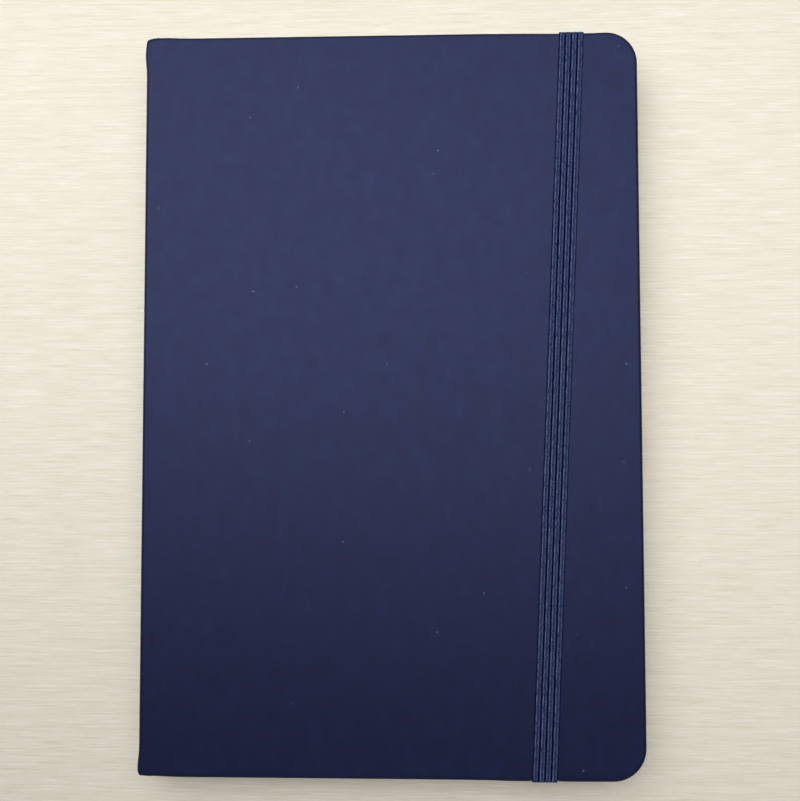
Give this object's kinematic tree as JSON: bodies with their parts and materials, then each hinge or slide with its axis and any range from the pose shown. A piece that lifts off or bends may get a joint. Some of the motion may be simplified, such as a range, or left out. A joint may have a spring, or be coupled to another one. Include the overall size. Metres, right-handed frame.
{
  "type": "pilot logbook",
  "caption": "Closed hardcover logbook with a soft-touch navy case, rounded fore-edge corners, sewn ruled pages and a ribbed elastic closure.",
  "frame": {"origin": "middle of the back cover's outer face, on the surface that the closed book lies on", "axes": "+X from the spine to the fore-edge, +Y from the tail to the head, +Z from the back cover to the front cover"},
  "size_m": [0.1428, 0.2142, 0.0176],
  "materials": {
    "cover_skin": "satin soft-touch coated cover material, fine grain",
    "board": "grey bookbinding board",
    "endpaper": "uncoated cream paper",
    "pages": "uncoated ruled ledger paper",
    "thread": "waxed linen sewing thread",
    "lining": "open-weave spine lining",
    "band": "striped woven band",
    "elastic": "ribbed knitted elastic"
  },
  "bodies": {
    "root": {"back_skin": "cover_skin", "back_board": "board", "rear_endpaper": "endpaper", "signature_11": "pages", "thread_11": "thread", "spine_lining_rear": "lining", "head_band_rear": "band", "tail_band_rear": "band", "elastic_head_tab": "elastic", "elastic_tail_tab": "elastic"},
    "spine": {"spine_skin": "cover_skin", "spine_strip": "board"},
    "front_cover": {"front_skin": "cover_skin", "front_board": "board", "front_endpaper": "endpaper", "signature_01": "pages", "thread_01": "thread", "spine_lining_front": "lining", "head_band_front": "band", "tail_band_front": "band"},
    "signature_02": {"signature_02": "pages", "thread_02": "thread"},
    "signature_03": {"signature_03": "pages", "thread_03": "thread"},
    "signature_04": {"signature_04": "pages", "thread_04": "thread"},
    "signature_05": {"signature_05": "pages", "thread_05": "thread"},
    "signature_06_front": {"signature_06_front": "pages"},
    "signature_06_rear": {"signature_06_rear": "pages", "thread_06": "thread"},
    "signature_07": {"signature_07": "pages", "thread_07": "thread"},
    "signature_08": {"signature_08": "pages", "thread_08": "thread"},
    "signature_09": {"signature_09": "pages", "thread_09": "thread"},
    "signature_10": {"signature_10": "pages", "thread_10": "thread"},
    "elastic": {"elastic_front_run": "elastic", "elastic_head_run": "elastic", "elastic_tail_run": "elastic"}
  },
  "joints": [
    {"name": "rear_fold", "type": "hinge", "parent": "root", "child": "spine", "pos_m": [-0.07135, 0, 0], "axis": [0, -1, 0], "range_deg": [0, 90]},
    {"name": "front_fold", "type": "hinge", "parent": "spine", "child": "front_cover", "pos_m": [-0.07135, 0, 0.017], "axis": [0, -1, 0], "range_deg": [0, 90]},
    {"name": "signature_02_slide", "type": "slide", "parent": "front_cover", "child": "signature_02", "axis": [-1, 0, 0], "range_m": [0, 0.00125]},
    {"name": "signature_03_slide", "type": "slide", "parent": "front_cover", "child": "signature_03", "axis": [-1, 0, 0], "range_m": [0, 0.0042]},
    {"name": "signature_04_slide", "type": "slide", "parent": "front_cover", "child": "signature_04", "axis": [-1, 0, 0], "range_m": [0, 0.00762]},
    {"name": "signature_05_slide", "type": "slide", "parent": "front_cover", "child": "signature_05", "axis": [-1, 0, 0], "range_m": [0, 0.01028]},
    {"name": "signature_06_front_slide", "type": "slide", "parent": "front_cover", "child": "signature_06_front", "axis": [-1, 0, 0], "range_m": [0, 0.01105], "deforming": ["spine_lining_front", "head_band_front", "tail_band_front"]},
    {"name": "signature_06_rear_slide", "type": "slide", "parent": "root", "child": "signature_06_rear", "axis": [-1, 0, 0], "range_m": [0, 0.01105], "deforming": ["spine_lining_rear", "head_band_rear", "tail_band_rear"]},
    {"name": "signature_07_slide", "type": "slide", "parent": "root", "child": "signature_07", "axis": [-1, 0, 0], "range_m": [0, 0.01028]},
    {"name": "signature_08_slide", "type": "slide", "parent": "root", "child": "signature_08", "axis": [-1, 0, 0], "range_m": [0, 0.00762]},
    {"name": "signature_09_slide", "type": "slide", "parent": "root", "child": "signature_09", "axis": [-1, 0, 0], "range_m": [0, 0.0042]},
    {"name": "signature_10_slide", "type": "slide", "parent": "root", "child": "signature_10", "axis": [-1, 0, 0], "range_m": [0, 0.00125]},
    {"name": "elastic_pull", "type": "slide", "parent": "root", "child": "elastic", "axis": [1, 0, 0], "range_m": [0, 0.034], "stiffness_N_per_m": 120}
  ],
  "couplings": [
    {"joint": "front_fold", "follows": "rear_fold", "ratio": 1},
    {"joint": "signature_02_slide", "follows": "rear_fold", "m_per_rad": 0.0007983},
    {"joint": "signature_03_slide", "follows": "rear_fold", "m_per_rad": 0.0026731},
    {"joint": "signature_04_slide", "follows": "rear_fold", "m_per_rad": 0.0048484},
    {"joint": "signature_05_slide", "follows": "rear_fold", "m_per_rad": 0.0065444},
    {"joint": "signature_06_front_slide", "follows": "rear_fold", "m_per_rad": 0.0070346},
    {"joint": "signature_06_rear_slide", "follows": "rear_fold", "m_per_rad": 0.0070346},
    {"joint": "signature_07_slide", "follows": "rear_fold", "m_per_rad": 0.0065444},
    {"joint": "signature_08_slide", "follows": "rear_fold", "m_per_rad": 0.0048484},
    {"joint": "signature_09_slide", "follows": "rear_fold", "m_per_rad": 0.0026731},
    {"joint": "signature_10_slide", "follows": "rear_fold", "m_per_rad": 0.0007983}
  ]
}
